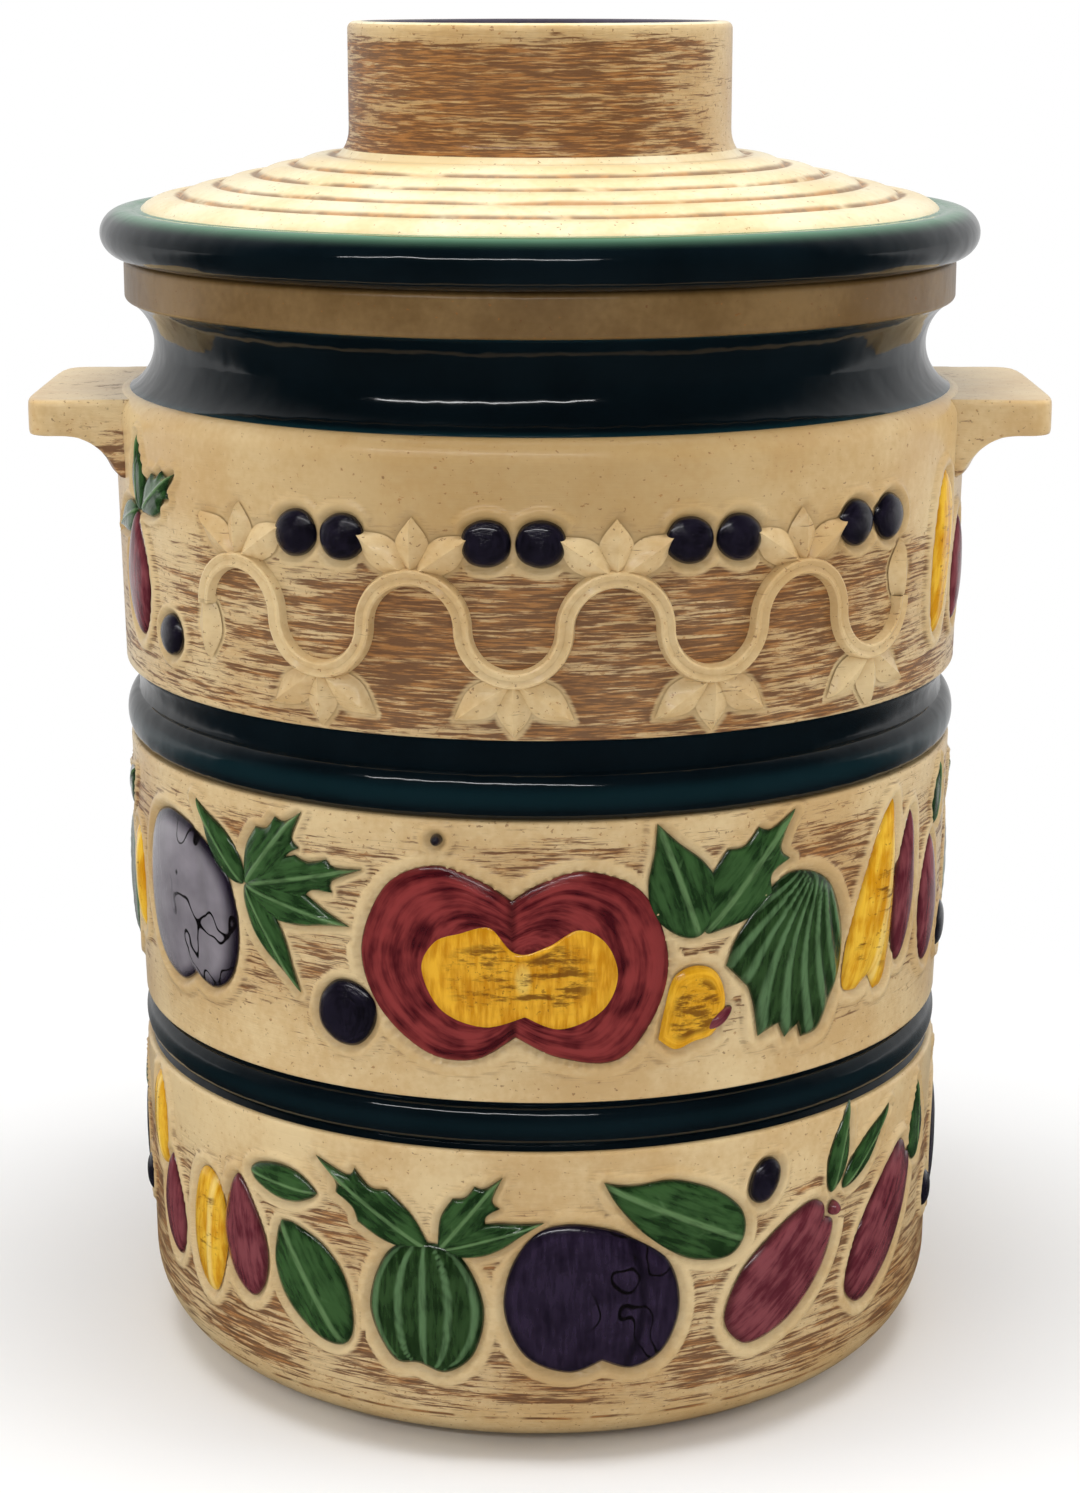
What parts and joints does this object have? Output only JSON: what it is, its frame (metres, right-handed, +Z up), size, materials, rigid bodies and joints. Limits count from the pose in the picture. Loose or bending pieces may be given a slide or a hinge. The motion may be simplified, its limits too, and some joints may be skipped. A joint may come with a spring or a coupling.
{
  "type": "rumtopf pot",
  "caption": "Lidded stoneware crock for fruit in rum: banded round body with low fruit relief, two lug handles, and a terraced lid with an open ring grip.",
  "frame": {"origin": "centre of the standing ring, on the surface the pot stands on", "axes": "+Z up through the lid, +X to the right-hand handle, -Y to the front of the ornament"},
  "size_m": [0.227, 0.1948, 0.3003],
  "materials": {
    "crock": "satin gloss glaze over brushed brown wash, dark teal gloss on the neck and ridges",
    "handle_left": "satin gloss cream glaze",
    "handle_right": "satin gloss cream glaze",
    "lid": "satin gloss cream glaze, brushed brown collar, dark teal gloss rim",
    "plum_relief": "gloss, plum black",
    "apple_relief": "gloss, maroon with a yellow heart",
    "gourd_relief": "gloss, green",
    "yellow_pod_relief": "gloss, yellow ochre",
    "red_pod_relief": "gloss, maroon",
    "berry_relief": "gloss, blue black",
    "pear_relief": "gloss, yellow",
    "leaf_relief": "gloss, leaf green",
    "scroll_relief": "satin gloss cream glaze"
  },
  "bodies": {
    "pot": {"crock": "crock", "handle_left": "handle_left", "handle_right": "handle_right", "plum_relief": "plum_relief", "apple_relief": "apple_relief", "gourd_relief": "gourd_relief", "yellow_pod_relief": "yellow_pod_relief", "red_pod_relief": "red_pod_relief", "berry_relief": "berry_relief", "pear_relief": "pear_relief", "leaf_relief": "leaf_relief", "scroll_relief": "scroll_relief"},
    "lid": {"lid": "lid"}
  },
  "joints": [
    {"name": "lid_lift", "type": "slide", "parent": "pot", "child": "lid", "axis": [0, 0, 1], "range_m": [0, 0.1]}
  ]
}
